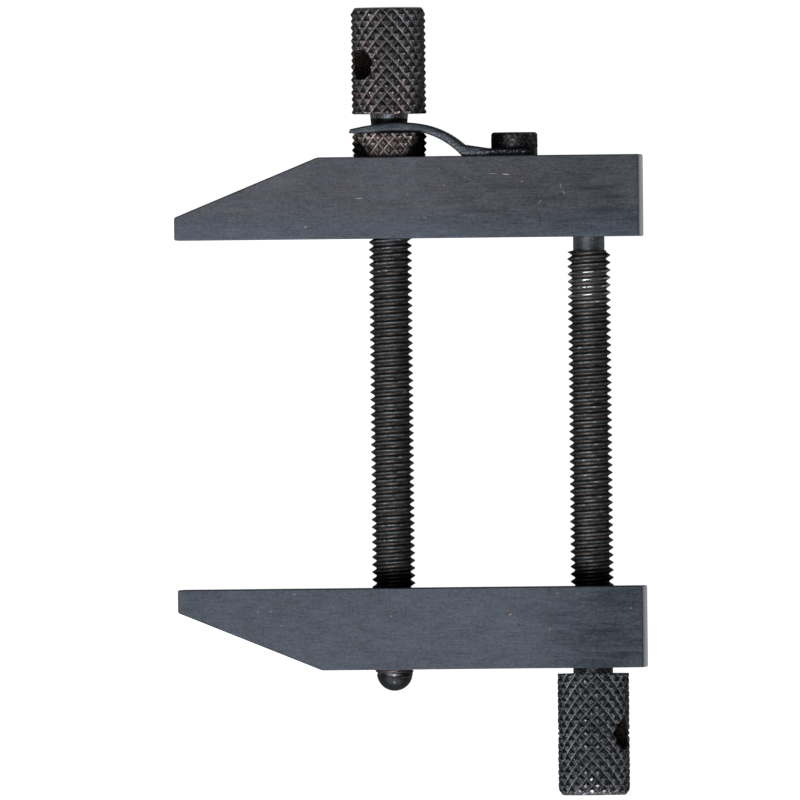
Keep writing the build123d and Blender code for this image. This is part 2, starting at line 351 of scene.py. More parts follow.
def finishScrew(screw, x, look, bands, hole):
    # Marks each point of a screw for its finish. On a knurled band "knurled" is 1, "way" goes
    # from 0 on a groove to 1 on a point, and "paling" is how pale the groove's bottom is painted,
    # as painted light: most where the groove runs down and outwards. On the thread "threaded" is 1
    # and "way" goes from 0 at the root to 1 at the crest. "bored" is 1 in the tommy-bar hole.
    mesh = screw.data
    points = vertexPlaces(mesh)
    radius = np.hypot(points[:, 0] - x, points[:, 2] - axisZ)
    angle = np.arctan2(points[:, 0] - x, points[:, 2] - axisZ)
    height = points[:, 1]
    root, crest, hair = thread["root"], thread["crest"], joining["hair"]
    sheet = threadReach((height - look["crestAt"]) / thread["pitch"] - angle / math.tau)
    threaded = (np.abs(radius - sheet) < thread["nick"] + 3 * hair) & (radius > root - hair)
    way = (radius - root) / (crest - root)
    knurled = np.zeros(len(points), bool)
    inHead = np.zeros(len(points), bool)
    paling = np.zeros(len(points))
    side = np.clip((points[:, 0] - x) / look["headRadius"] / knurl["turnedAway"], -1, 1)
    for band in bands:
        within = (height > band["bottom"] - hair) & (height < band["top"] + hair)
        inHead |= within & (radius < look["headRadius"] + hair)
        outer = inHead & (radius > look["headRadius"] - band["depth"] - 2 * hair)
        spans = grooveSpans(height, angle - math.radians(band["turn"]), look["crossings"], band["phase"])
        way = np.where(outer & ~knurled, 2 * np.minimum(*spans), way)
        # painted light: on each side the lines that run down and outwards are painted paler, as if lit from
        # below
        outwards = np.where(spans[0] < spans[1], 1 - side, 1 + side) / 2
        paling = np.where(outer, knurl["faintLine"] + (1 - knurl["faintLine"]) * outwards, paling)
        knurled |= outer
    centre, axis, holeRadius = hole
    away = points - centre
    away = np.linalg.norm(away - (away @ axis)[:, None] * axis, axis=1)
    bored = inHead & (away < holeRadius + 3 * hair)
    knurled &= ~bored
    threaded &= ~inHead
    way = np.clip(np.where(knurled | threaded, way, 0.5), 0, 1)
    for name, marks in (("way", way), ("knurled", knurled), ("paling", paling),
                        ("threaded", threaded), ("bored", bored)):
        markPoints(mesh, name, marks)
    mesh.set_sharp_from_angle(angle=math.radians(joining["sharpFrom"]))
    mesh.polygons.foreach_set("use_smooth", np.ones(len(mesh.polygons), bool))


def makeMiddleScrew():
    look, overlap = middleLook, joining["overlap"]
    clear = thread["crest"] + joining["clear"]
    collarBottom = jawHigh[1] + look["collarGap"]
    collarTop = collarBottom + look["collarLength"]
    headBottom = collarTop + look["neckLength"]
    ballRadius, ballHeight = look["ballRadius"], middleLow[1] + look["ballRadius"]
    threadEnd = jawLow[1] + look["threadInJaw"]
    screw = threadedRod("middle_screw_turned", middleX, middleLow[1] - overlap, threadEnd, look)
    # the end of the rod is turned to a ball, whose radius and height follow the latitude
    latitude = np.linspace(*look["ballSpan"], look["ballSteps"])
    ball = ballRadius * np.stack([np.sin(latitude), -np.cos(latitude)], 1) + (0, ballHeight)
    out, up = look["shoulder"]
    blank = turnedPiece("blank", middleX, [
        *ball, (ballRadius + out, ballHeight + up),
        (clear, ballHeight + look["firstTurn"]), (clear, threadEnd)])
    combine(screw, blank, "INTERSECT")
    shankRadius = thread["crest"] + joining["proud"]
    shank = turnedPiece("shank", middleX, [
        (shankRadius, threadEnd - look["runOut"]), (shankRadius, collarBottom + overlap)])
    neck = turnedPiece("neck", middleX, [
        (look["neckBottom"], collarTop - overlap), (look["neckBottom"], collarTop),
        (look["neckTop"], headBottom), (look["neckTop"], headBottom + overlap),
    ])
    collar = placedBand(look["collar"], collarBottom, collarTop, collarBottom)
    head = placedBand(look["head"], headBottom, middleHigh[1], headBottom)
    for part in (shank, knurledBand("collar", middleX, look, collar), neck,
                 knurledBand("head", middleX, look, head)):
        combine(screw, part, "UNION")
    hole = drillTommyHole(screw, "middle", look)
    finishScrew(screw, middleX, look, [collar, head], hole)
    return screw


def makeOuterScrew():
    look, overlap = outerLook, joining["overlap"]
    neck, dog, clear = look["neckRadius"], look["dogRadius"], thread["crest"] + joining["clear"]
    headTop = outerLow[1] + look["headLength"]
    dogBottom, dogTop = jawLow[1] - look["dogShown"], outerHigh[1]
    threadStart = footLow[1] + look["threadStart"]
    screw = threadedRod("outer_screw_turned", outerX, footLow[1] - overlap, dogBottom + overlap, look)
    out, down = look["lastTurn"]
    blank = turnedPiece("blank", outerX, [
        (neck, threadStart), (clear, threadStart + clear - neck),
        (clear, dogBottom - down), (dog + out, dogBottom),
    ])
    shank = turnedPiece("shank", outerX, [(neck, headTop - overlap), (neck, footLow[1] + look["neckEnd"])])
    point = turnedPiece("point", outerX, [
        (dog, dogBottom - overlap), (dog, dogTop - look["dogChamfer"]), (dog - look["dogChamfer"], dogTop)])
    head = placedBand(look["head"], outerLow[1], headTop, headTop)
    combine(screw, blank, "INTERSECT")
    for part in (shank, point, knurledBand("head", outerX, look, head)):
        combine(screw, part, "UNION")
    hole = drillTommyHole(screw, "outer", look)
    finishScrew(screw, outerX, look, [head], hole)
    return screw


# Clip and its screw

clipLook = {
    "bevel": 0.09,  # width of the rounding along the edges
    "screwBevel": 0.06,
    "roundedFrom": 30,  # degrees between faces whose edge is rounded
    "sharpFrom": 32,  # degrees between faces whose edge is shaded as a hard one
    "steps": 3,  # of the rounding
    "rest": 0.03,  # between the collar and the leaf's underside
    "underside": 36.3,  # height below which a point by the collar is on the underside
    "nose": (0.3, 0.06),  # its length, and the height of its lower edge over the underside
    "corner": (0.75, 36.4),  # length of the nose's upper corner, and the height it lies above
    "cornerMove": (-0.47, -0.1, 0.0),
}


def pressClip(mesh):
    # The leaf's underside lies flat on the collar: there its points come down to the collar.
    # The upper corner of its nose comes forward, which makes the nose blunt.
    points = vertexPlaces(mesh)
    x, y = points[:, 0].copy(), points[:, 1].copy()
    nose, noseRise = clipLook["nose"]
    cornerLength, cornerHeight = clipLook["corner"]
    restHeight = jawHigh[1] + middleLook["collarGap"] + middleLook["collarLength"] + clipLook["rest"]
    beside = (x > clipLow[0] + nose) & (x < middleX + middleLook["headRadius"])
    over = beside & (y < clipLook["underside"])
    corner = (x < clipLow[0] + cornerLength) & (y > cornerHeight)
    tip = (x < clipLow[0] + nose) & ~corner
    points[over, 1] = np.minimum(y[over], restHeight)
    points[corner] += clipLook["cornerMove"]
    points[tip, 1] = np.minimum(y[tip], restHeight + noseRise)
    mesh.vertices.foreach_set("co", (points * mm).ravel())


def softened(node, name, width, change=None):
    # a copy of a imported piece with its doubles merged, its flat faces joined again, its form
    # changed if need be and its edges rounded by a bevel
    work = bmesh.new()
    work.from_mesh(frame["nodes"][node].data)
    bmesh.ops.remove_doubles(work, verts=work.verts, dist=1e-7)
    bmesh.ops.dissolve_limit(work, angle_limit=math.radians(0.5), verts=work.verts, edges=work.edges)
    bmesh.ops.recalc_face_normals(work, faces=work.faces)
    mesh = bpy.data.meshes.new(name)
    work.to_mesh(mesh)
    work.free()
    if change:
        change(mesh)
    piece = addObject(name, mesh)
    bevel = piece.modifiers.new("bevel", "BEVEL")
    bevel.width = width * mm
    bevel.segments = clipLook["steps"]
    bevel.limit_method = "ANGLE"
    bevel.angle_limit = math.radians(clipLook["roundedFrom"])
    settle(piece)
    piece.data.polygons.foreach_set("use_smooth", np.ones(len(piece.data.polygons), bool))
    piece.data.set_sharp_from_angle(angle=math.radians(clipLook["sharpFrom"]))
    return piece


def markLeaf(piece):
    # Marks each point of the clip by the face of the leaf it lies next to, 0 for the lower and
    # 1 for the upper, so that across the leaf's side the mark grows from one to the other.
    mesh = piece.data
    work = bmesh.new()
    work.from_mesh(mesh)
    bmesh.ops.triangulate(work, faces=work.faces, ngon_method="BEAUTY")
    work.to_mesh(mesh)
    work.free()
    normals = np.zeros(len(mesh.vertices) * 3)
    mesh.vertex_normals.foreach_get("vector", normals)
    markPoints(mesh, "over", 0.5 + np.clip(normals.reshape(-1, 3)[:, 1] * 20, -0.5, 0.5))


photo = {
    "pixels": 800,  # across and down
    "width": 106.72,  # millimetres across the picture in the plane of the screw axes
    "centre": (-1.43, 0.29),  # the point of that plane in the middle of the picture
    "distance": 5000.0,
    "lean": 3.4,  # degrees that the camera stands towards the heel
    "roll": 0.6,  # degrees that the clamp leans to the left in the picture
}
pixel = photo["width"] / photo["pixels"]


def seen(across, down, height):
    # The point at that height that a pixel of the photograph shows: its place in the plane of
    # the axes turned by the roll, and moved along the jaws for its height above them.
    right, up = (across - photo["pixels"] / 2) * pixel, (photo["pixels"] / 2 - down) * pixel
    roll = math.radians(photo["roll"])
    rise = height - axisZ
    x = photo["centre"][0] + right * math.cos(roll) + up * math.sin(roll)
    y = photo["centre"][1] - right * math.sin(roll) + up * math.cos(roll)
    return np.array([x + rise * math.tan(math.radians(photo["lean"])), y, height])


# Finishes

def operator(operation, reflected=False):
    # a method that adds one Math node for the value and another number or value
    def method(self, other):
        return self.math(operation, *((other, self) if reflected else (self, other)))
    return method


class Value:
    # a number socket, which is reckoned with by ordinary operators
    __add__, __radd__ = operator("ADD"), operator("ADD", reflected=True)
    __sub__, __rsub__ = operator("SUBTRACT"), operator("SUBTRACT", reflected=True)
    __mul__, __rmul__ = operator("MULTIPLY"), operator("MULTIPLY", reflected=True)
    __pow__, high = operator("POWER"), operator("MAXIMUM")

    def __init__(self, nodes, socket):
        self.nodes, self.socket = nodes, socket

    def __abs__(self):
        return self.math("ABSOLUTE", self)

    def math(self, operation, *numbers):
        return self.nodes.add("ShaderNodeMath", {"operation": operation}, dict(enumerate(numbers)))

    def rise(self, start, end):
        # 0 up to the start, 1 from the end on, and smooth between
        sockets = {"Value": self, "From Min": start, "From Max": end}
        return self.nodes.add("ShaderNodeMapRange", {"interpolation_type": "SMOOTHSTEP"}, sockets)

    def band(self, start, full, fade, end):
        # 1 from full to fade, 0 outside start and end, and smooth between
        return self.rise(start, full) * (1 - self.rise(fade, end))


class Nodes:
    # the nodes of a material or of the surroundings
    def __init__(self, owner):
        owner.use_nodes = True
        self.tree = owner.node_tree

    def add(self, kind, settings, sockets, output=0):
        # any node: its settings first, then the numbers, colours or links of its sockets
        node = self.tree.nodes.new(kind)
        for key, setting in settings.items():
            setattr(node, key, setting)
        for key, given in sockets.items():
            self.join(node.inputs[key], given)
        return Value(self, node.outputs[output])

    def join(self, socket, given):
        if isinstance(given, Value):
            self.tree.links.new(given.socket, socket)
        else:
            socket.default_value = given

    def mix(self, factor, first, second):
        # a colour between two others
        first, second = ((*c, 1) if isinstance(c, tuple) else c for c in (first, second))
        return self.add("ShaderNodeMix", {"data_type": "RGBA"}, {0: factor, 6: first, 7: second}, 2)


class Finish(Nodes):
    # a material, whose nodes feed its Principled shader
    def __init__(self, name, metallic, roughness, edgeTint=(1, 1, 1)):
        self.material = bpy.data.materials.new(name)
        super().__init__(self.material)
        self.surface = self.tree.nodes["Principled BSDF"]
        self.feed("Metallic", metallic)
        self.feed("Roughness", roughness)
        self.feed("Specular Tint", (*edgeTint, 1))
        self.place = self.add("ShaderNodeTexCoord", {}, {}, "Object")

    def feed(self, name, given):
        self.join(self.surface.inputs[name], given)

    def noise(self, x, y, z, detail, roughness, distortion=0.0):
        # irregular field about one half, with that many waves to the millimetre
        rates = {"Vector": self.place, "Scale": (x / mm, y / mm, z / mm)}
        sockets = {"Vector": self.add("ShaderNodeMapping", {}, rates), "Scale": 1.0,
                   "Detail": detail, "Roughness": roughness, "Distortion": distortion}
        return self.add("ShaderNodeTexNoise", {}, sockets)

    def grains(self, settings):
        return [self.noise(*given) for given in settings.values()]

    def axis(self, index):
        # one object coordinate in millimetres
        parts = self.add("ShaderNodeSeparateXYZ", {}, {"Vector": self.place}, index)
        return parts * (1 / mm)

    def marked(self, marks, firm, height, depth=1.0):
        # The strongest of some marks that the photograph shows at that height. Each fills the
        # inner share firm of an ellipsoid, with depth as its half height, and fades to its edge.
        field = 0
        for across, down, length, width, turn, strength in sum(marks.values(), []):
            size = np.array([length * pixel, width * pixel, depth])
            sockets = {"Vector": self.place, "Location": tuple(seen(across, down, height) * mm),
                       "Rotation": (0, 0, math.radians(turn)), "Scale": tuple(size * mm)}
            within = self.add("ShaderNodeMapping", {"vector_type": "TEXTURE"}, sockets)
            away = self.add("ShaderNodeVectorMath", {"operation": "LENGTH"}, {0: within}, 1)
            mark = (1 - away.rise(firm, 1.0)) * strength
            field = mark.high(field)
        return field

    def attribute(self, name):
        return self.add("ShaderNodeAttribute", {"attribute_name": name}, {}, "Fac")

    def layers(self, colour, *layers):
        # more colours laid over the first in turn, each as thickly as its factor says
        for factor, tint in layers:
            colour = self.mix(factor, colour, tint)
        return colour

    def scale(self, colour, factor):
        # a colour made lighter or darker
        return self.add("ShaderNodeVectorMath", {"operation": "SCALE"}, {0: colour, 3: factor})

    def bump(self, height, strength, distance):
        # height is a field from 0 to 1, and distance its depth in millimetres
        sockets = {"Height": height, "Strength": strength, "Distance": distance * mm}
        self.feed("Normal", self.add("ShaderNodeBump", {}, sockets))


jawLook = {
    "cool": (0.121, 0.143, 0.182),
    "warm": (0.129, 0.14, 0.168),
    "pink": (0.155, 0.135, 0.145),
    "green": (0.128, 0.145, 0.152),
    "smudge": (0.026, 0.038, 0.046),
    # painted shade: the dark line along the bevelled edges
    "edge": (0.035, 0.055, 0.08),
    # painted reflection: the pale heel end face
    "end": (0.88, 0.85, 0.86),
    "dark": (0.03, 0.033, 0.04),
    "pale": (0.55, 0.53, 0.52),
    "orange": (0.62, 0.42, 0.3),
    "tipHeight": 3.05,
    "bevelRise": 0.409,  # of the bevels, to each millimetre along the jaw
    # where a tint starts along x or y and where it is full
    "upperJaw": (0, 10),
    "warmFrom": (24.0, 25.6),
    "pinkFrom": (24, 28),
    "greenFrom": (28.5, 30.5),
    "aboveBlue": (22.5, 24.5),
    "heelFrom": (14, 26),
    # where the painted light at the upper jaw's nose ends and the painted shade towards the heel starts
    "noseEnd": (-20, -10),
    "shadeFalloffFrom": (-6, 16),
    # how much each grain lightens and darkens the steel
    "tone": {"lines": 1.0, "weave": 0.35, "fine": 1.3, "mottle": 0.6, "cloud": 0.3},
}
# Grains: waves to the millimetre along x, y and z, detail, roughness and distortion.
jawGrains = {
    "lines": (0.55, 5.0, 5.0, 3, 0.6),
    "weave": (4.6, 0.9, 4.6, 3, 0.6),
    "fine": (2.4, 3.2, 3.2, 4, 0.7, 0.3),
    "mottle": (0.35, 0.6, 0.6, 4, 0.6, 0.5),
    "cloud": (0.05, 0.12, 0.12, 2, 0.5),
    "tinge": (1.6, 3.6, 3.6, 2, 0.6),
    "smear": (0.1, 1.1, 1.1, 4, 0.6, 0.3),
    "blush": (0.1, 1.3, 1.3, 3, 0.6),
    "burr": (3, 2.2, 3, 3, 0.6),
}
# Marks on the jaws' upper sides where the photograph shows them: pixel across and down, half
# length and half width in pixels, turn in degrees against the clock, and strength.
paleMarks = {
    "streak": [(359.2, 198.6, 5, 0.55, 4, 0.9)],
    "scratch": [(492.5, 174, 6.5, 0.45, 0, 0.6)],
    "chip": [(506, 174.5, 4.8, 0.9, -4, 0.9)],
    "curl": [(560.5, 185.6, 2.9, 0.5, -78, 0.7), (563.8, 192.6, 3, 0.5, -48, 0.7)],
    "faint line": [(424.5, 217, 3.9, 0.5, -50, 0.4)],
    "upper nicks": [
        (407.4, 194.7, 1.2, 0.7, 20, 0.6), (439, 169, 1, 0.7, 0, 0.6), (464.7, 177.6, 1.3, 0.7, 30, 0.6),
        (521.9, 181.7, 1.3, 0.8, 0, 0.7),
    ],
    "lower nicks": [
        (294.4, 594, 1.2, 0.8, 0, 0.7), (271, 611.7, 1.2, 0.8, 0, 0.6), (258, 612, 1.1, 0.7, 0, 0.5),
        (280.8, 625.6, 1.2, 0.8, 0, 0.6), (391.2, 616, 1.2, 0.8, 0, 0.6), (280, 590.3, 1, 0.7, 0, 0.5),
        (549.8, 628.4, 1.1, 0.8, 0, 0.6), (557, 592.9, 1.1, 0.8, 0, 0.6), (631, 607.8, 1.2, 0.8, 0, 0.6),
    ],
}
orangeMarks = {
    "specks": [
        (305.5, 227.3, 1.5, 1.1, 0, 1), (230, 220.8, 1.2, 0.8, 0, 0.6), (444, 185.7, 1, 0.8, 0, 0.7),
    ],
    "diagonal": [(540, 202, 4.4, 0.6, 47, 0.6)],
    "streak": [(510.5, 614.3, 2.6, 0.7, 10, 0.9)],
}
darkMarks = {
    "smears": [
        (467.7, 182, 4.4, 1.1, 0, 0.6), (364.6, 234.7, 5, 0.8, 0, 0.6), (393, 236.6, 4, 0.7, 0, 0.5),
    ],
    "spot": [(485.4, 222, 4.2, 2, 0, 0.5)],
    "upper cuts": [(540.3, 220, 12, 0.5, 90, 0.45), (533.4, 161.5, 3.6, 0.5, 90, 0.4)],
    "pits": [
        (297.2, 182.6, 1.2, 0.9, 0, 0.6), (182.7, 226, 1.2, 0.9, 0, 0.6), (302.6, 609.8, 1.1, 0.9, 0, 0.6),
    ],
    "lower cuts": [
        (485, 604.5, 5.6, 0.5, 90, 0.45), (219.7, 598.5, 5.6, 0.5, 90, 0.35),
        (432.3, 645.5, 6, 0.45, 75, 0.4), (486.7, 648, 7.2, 0.45, 75, 0.4),
        (438.9, 637, 4.4, 0.45, 75, 0.35), (519.5, 624, 4.2, 0.5, 70, 0.45),
    ],
    "tick": [(590.6, 619.9, 1.6, 0.8, 0, 0.5)],
}
# Soft dark oil stains, given in the same way.
stains = {
    "upper heel": [
        (596, 188, 40, 8, 0, 0.55), (612, 196, 24, 7, 0, 0.6), (606, 211, 46, 6, 0, 0.65),
        (482, 210, 40, 6, 0, 0.4), (512, 187, 60, 6, 0, 0.35), (552, 199, 52, 5, 0, 0.35),
    ],
    "lower heel": [
        (622, 655, 24, 9, 0, 0.75), (572, 646, 24, 6, 0, 0.55), (610, 606, 44, 4.5, 0, 0.55),
        (616, 612, 40, 4, 0, 0.5), (604, 618, 46, 4, 0, 0.5), (606, 632, 50, 8, 0, 0.65),
        (598, 646, 52, 6, 0, 0.55),
    ],
    "lower tip": [(206, 594, 24, 6, 0, 0.2)],
}


def jawSteel():
    # Satin black oxide over fine uneven grinding lines, a little warmer and pinkish along the
    # top of the upper jaw, stained towards the heel, with pale nicks and small dark cuts. Painted
    # shade darkens the jaws towards the heel and painted light brightens the upper jaw's nose. The
    # heel's end face is painted pale as a painted reflection, and a painted dark line of shade runs
    # along the bevelled edges.
    look, top, heelFace = jawLook, jawHigh[2], jawHigh[0]
    finish = Finish("jaw_black_oxide", 0.6, 0.5, (0.5, 0.5, 0.55))
    x, y, z = (finish.axis(i) for i in range(3))
    lines, weave, fine, mottle, cloud, tinge, smear, blush, burr = finish.grains(jawGrains)
    upper = y.rise(*look["upperJaw"])
    heel = (x + (cloud - 0.5) * 16).rise(*look["heelFrom"])
    warmth = (y + (mottle - 0.5) * 3).rise(*look["warmFrom"])
    pink = blush.rise(0.48, 0.66) * y.rise(*look["pinkFrom"]) * 0.45
    smudge = smear.rise(0.38, 0.7) * heel * (0.3 + 0.25 * (1 - upper))
    stain = finish.marked(stains, 0.0, top) * (0.15 + smear.rise(0.3, 0.65) * 1.1)
    colour = finish.layers(
        look["cool"], (warmth, look["warm"]), (pink * (1 - heel), look["pink"]),
        ((tinge - 0.5) * 3.0 * (1 - heel), look["pink"]),
        (heel * y.rise(*look["greenFrom"]) * 0.6, look["green"]), (smudge.high(stain), look["smudge"]))
    tone = 0
    for grain, amount in zip((lines, weave, fine, mottle, cloud), look["tone"].values()):
        tone = tone + (grain - 0.5) * amount
    # painted shade and light: the jaws are painted darker towards the heel, the lower jaw more so, and
    # lighter at the upper jaw's nose
    nose = 1 - x.rise(*look["noseEnd"])
    fade = 0.18 * upper * x.rise(*look["shadeFalloffFrom"]) + 0.28 * (1 - upper) * heel - 0.08 * upper * nose
    blueStrip = (1 - y.rise(*look["aboveBlue"])) * upper
    colour = finish.scale(colour, 1.0 + tone + blueStrip * 0.1 - fade)
    # how far inside the nearer bevel a point of the upper side lies, measured across the jaws
    innerMiddle = (jawLow[1] + footHigh[1]) / 2
    bevelStart = look["tipHeight"] + jawLow[1] - innerMiddle
    inside = bevelStart + (x - jawLow[0]) * look["bevelRise"] - abs(y - innerMiddle)
    # painted shade: a dark line along the bevelled edges of the upper side
    edge = (1 - inside.rise(0.08, 0.24)) * z.rise(top - 0.15, top - 0.05)
    brink = (x + (burr - 0.5) * 0.6).rise(heelFace - 0.36, heelFace - 0.2) * burr.rise(0.42, 0.6)
    # painted reflection: the heel's end face is painted pale, palest low down
    end = (x + (burr - 0.5) * 0.3).rise(heelFace - 0.1, heelFace - 0.03)
    colour = finish.layers(
        colour, (finish.marked(darkMarks, 0.4, top), look["dark"]),
        (finish.marked(paleMarks, 0.4, top), look["pale"]),
        (finish.marked(orangeMarks, 0.4, top), look["orange"]),
        (edge * 0.8, look["edge"]), (brink * 0.6, look["edge"]),
        (end * (1.15 - z.rise(3, top) * (0.5 + burr * 0.6)), look["end"]))
    finish.feed("Base Color", colour)
    finish.feed("Roughness", 0.46 + (lines - 0.5) * 0.2 + smudge * 0.08)
    finish.bump(lines * 0.4 + weave * 0.2 + fine * 0.4, 0.35, 0.02)
    return finish.material


# Bright spots of the screws, given like the jaws' marks: points of the knurl rubbed bare and
# painted with glints, places on the thread worn bare and painted with glints, and painted highlights on the
# ball.
bareAndGlintSpots = {
    "upper head": [
        (380.4, 93.3, 1.5, 1.4, 0, 1), (376.2, 85.3, 1.3, 1.2, 0, 0.9), (386.4, 86.3, 1.2, 1.1, 0, 0.8),
        (362.5, 102.4, 1.3, 1.1, 0, 0.8), (380.3, 80.4, 1, 1, 0, 0.7),
    ],
    "lower head": [
        (592.3, 790.5, 2.4, 1, 0, 0.9), (604.8, 790.3, 2, 0.9, 0, 0.6), (616.3, 790.4, 1.6, 1.1, 0, 1),
        (579.5, 790.3, 1.4, 1.1, 0, 0.9), (585.4, 786.2, 1.5, 1.5, 0, 1),
        (598.3, 785.4, 2.6, 1.1, 0, 0.9), (611.2, 785.6, 1.5, 1.3, 0, 1), (591.4, 779.3, 1.5, 1.4, 0, 1),
        (617.4, 742.4, 1.5, 1.2, 0, 1),
    ],
}
# places on the thread worn bare and painted with glints, and one scratch
threadWearAndGlints = {
    "middle": [
        (378.6, 271.4, 1.6, 0.9, 0, 1), (376.8, 263.4, 1.2, 0.8, 0, 0.8), (384.5, 540.4, 1.1, 1, 0, 0.9),
        (380, 540.6, 1.1, 0.9, 0, 0.8),
    ],
    "middle scratch": [(404, 392, 4.6, 0.6, 55, 0.9)],
    "outer": [
        (593.4, 391.4, 1.2, 0.9, 0, 1), (577.5, 415.4, 1.2, 0.9, 0, 1), (598.4, 459.4, 1.2, 0.9, 0, 0.9),
    ],
}
# painted highlights on the ball: a glint, a band, a lower glint and a lit rim below the jaw
paintedBallHighlights = {
    "upper": [(394.4, 675.2, 0.9, 1.9, 0, 1)],
    "band": [(394, 674.8, 11, 1.6, 0, 0.35)],
    "lower": [(394.4, 682.4, 1.4, 1.5, 0, 0.2)],
    "rim": [(391.5, 670.8, 14, 1, 0, 0.8)],
}

screwLook = {
    "face": (0.018, 0.02, 0.024),
    "faceWorn": (0.21, 0.22, 0.238),
    "line": (0.42, 0.43, 0.46),
    "lineBrown": (0.42, 0.33, 0.3),
    "root": (0.23, 0.2, 0.19),
    "flank": (0.07, 0.077, 0.086),
    "crest": (0.235, 0.242, 0.258),
    "turned": (0.03, 0.033, 0.037),
    "turnedWorn": (0.15, 0.158, 0.17),
    # bare steel, also the colour of the painted glints and highlights
    "bareAndGlint": (0.85, 0.83, 0.81),
    "rust": (0.3, 0.205, 0.175),
    "collarRust": (0.5, 0.34, 0.29),
    "collarPale": (0.9, 0.78, 0.74),
    "bore": (0.022, 0.018, 0.016),
    "boreWorn": (0.15, 0.115, 0.105),
    # where a part starts along x or y and where it is full, and for a band also where it
    # begins to fade and where it ends
    "outer": (8, 12),
    "brownFrom": (-30, 0),
    "collar": (jawHigh[1] - 0.5, jawHigh[1], jawHigh[1] + 3.2, jawHigh[1] + 3.5),
    # where the neck's painted shadow starts, and where its painted lit top starts
    "neck": (jawHigh[1] + 3.2, jawHigh[1] + 3.4),
    "neckTop": (37.75, 38.0),
    "headFoot": (38.3, 38.5, 39.5, 44.0),
    # where the bare points and painted glints near the lower end stop
    "aboveEndWearAndGlints": (-50.5, -47.5),
    "aboveBall": (footLow[1] - 0.1, footLow[1] + 0.1),
    "dog": (18.5, 19.4, 23, 24),
    "scoured": (12.5, 14.0, 17.0, 18.2),
    # where the painted shadow of the lower jaw lies on the threads
    "jawShadow": (footHigh[1] - 2.5, footHigh[1], footHigh[1] + 1.4, footHigh[1] + 3.2),
    # where the painted shadow on the collar ends above the jaw, and where it covers the collar's right end
    "lit": (jawHigh[1], jawHigh[1] + 0.45),
    "rightOfCollar": (middleX + 3.5, middleX + 4.1),
    "faced": (0.04, 0.1),  # depths from the ends of the heads
    "rings": 16,  # of the lathe on the ends, in radians to the millimetre
}
screwGrains = {
    "patch": (0.5, 0.4, 0.5, 4, 0.65),
    "grit": (4.2, 4.2, 4.2, 3, 0.7),
    "speck": (2.2, 2.2, 2.2, 3, 0.6),
    "dapple": (1.3, 1.1, 1.3, 3, 0.6),
    "scuff": (0.7, 4.6, 0.7, 3, 0.65),
}


